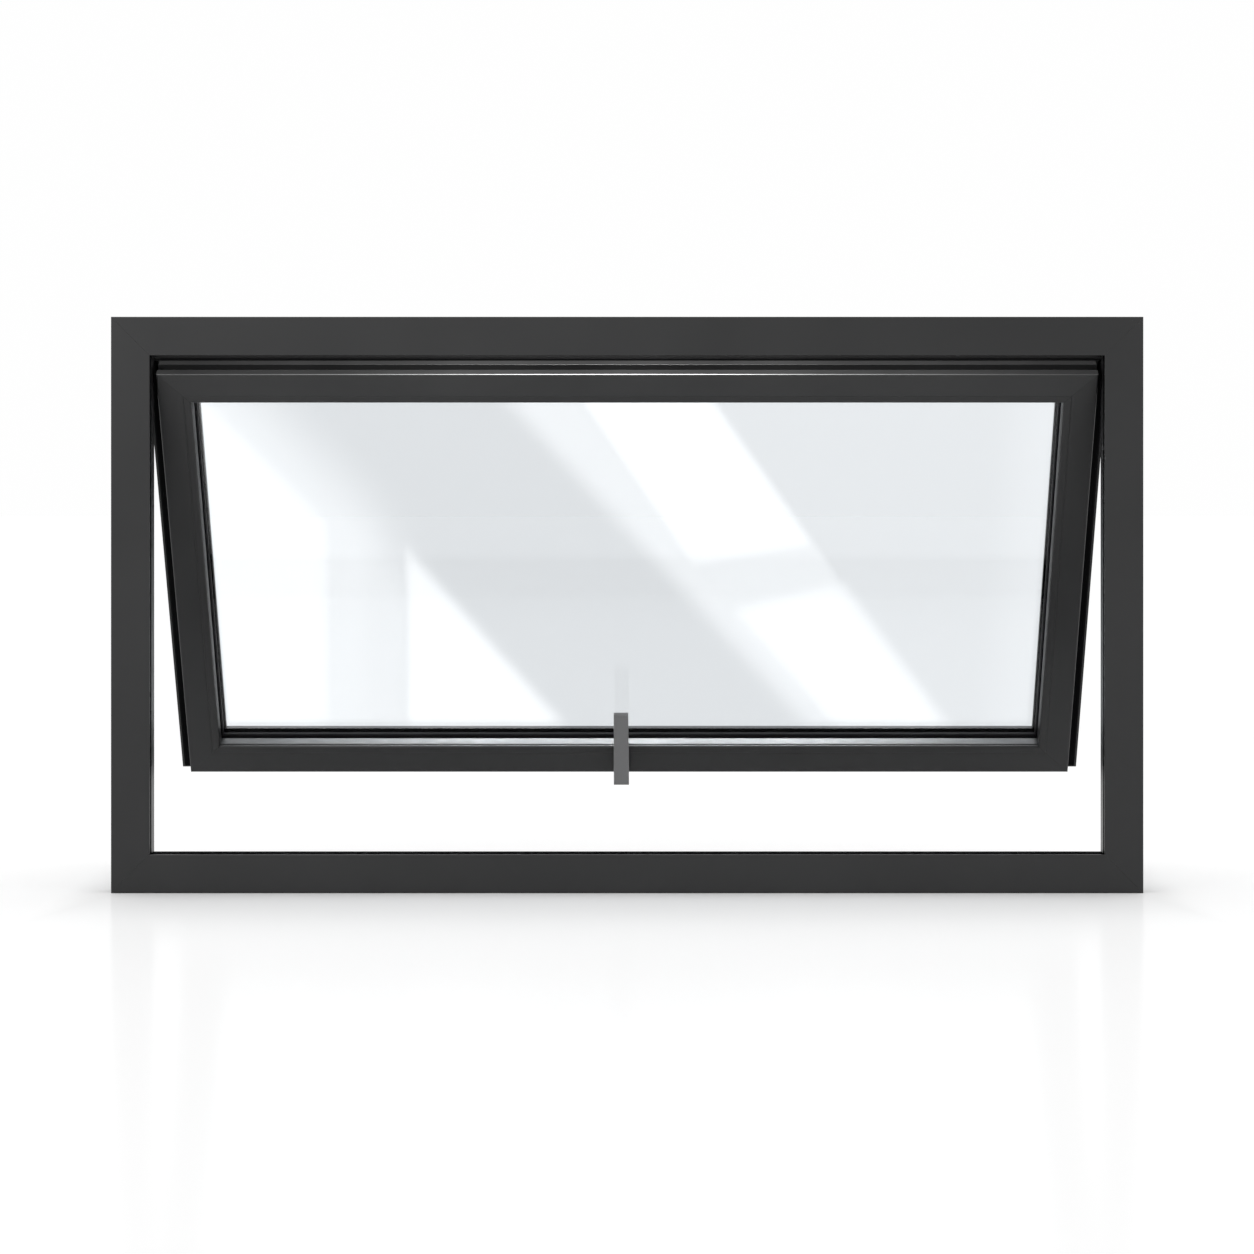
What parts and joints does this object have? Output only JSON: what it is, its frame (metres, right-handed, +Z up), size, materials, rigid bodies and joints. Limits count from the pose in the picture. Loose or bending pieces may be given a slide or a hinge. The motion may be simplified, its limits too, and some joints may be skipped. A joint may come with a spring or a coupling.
{
  "type": "top hung awning window",
  "caption": "Top hung aluminium awning window: a mitred frame with a double glazed sash that hangs from a hook hinge at its head and swings outward, opened with a lever handle.",
  "frame": {"origin": "middle of the sill's underside, midway in the frame's depth", "axes": "+X along the window's width, +Y outdoors, +Z up"},
  "size_m": [1.2, 0.3475, 0.67],
  "materials": {
    "coated_aluminium": "satin",
    "rubber_seal": "matte",
    "clear_glass": "gloss",
    "spacer_bar": "satin",
    "handle_metal": "satin"
  },
  "bodies": {
    "frame": {"head": "coated_aluminium", "right_jamb": "coated_aluminium", "sill": "coated_aluminium", "left_jamb": "coated_aluminium", "head_strip": "rubber_seal", "right_jamb_strip": "rubber_seal", "sill_strip": "rubber_seal", "left_jamb_strip": "rubber_seal", "hinge_rail": "coated_aluminium"},
    "sash": {"top_rail": "coated_aluminium", "right_stile": "coated_aluminium", "bottom_rail": "coated_aluminium", "left_stile": "coated_aluminium", "right_seal": "rubber_seal", "sill_seal": "rubber_seal", "left_seal": "rubber_seal", "top_bead": "coated_aluminium", "right_bead": "coated_aluminium", "bottom_bead": "coated_aluminium", "left_bead": "coated_aluminium", "top_inner_gasket": "rubber_seal", "right_inner_gasket": "rubber_seal", "bottom_inner_gasket": "rubber_seal", "left_inner_gasket": "rubber_seal", "top_outer_gasket": "rubber_seal", "right_outer_gasket": "rubber_seal", "bottom_outer_gasket": "rubber_seal", "left_outer_gasket": "rubber_seal", "inner_pane": "clear_glass", "outer_pane": "clear_glass", "glazing_spacer": "spacer_bar", "hinge_hook": "coated_aluminium", "handle_base": "handle_metal"},
    "handle": {"handle_lever": "handle_metal"}
  },
  "joints": [
    {"name": "sash_hinge", "type": "hinge", "parent": "frame", "child": "sash", "pos_m": [0, 0.0235, 0.625], "axis": [1, 0, 0], "range_deg": [-31, 14]},
    {"name": "handle_turn", "type": "hinge", "parent": "sash", "child": "handle", "pos_m": [-0.0096, 0.28166, 0.1303], "axis": [0, -0.8572, -0.515], "range_deg": [-90, 0]}
  ]
}
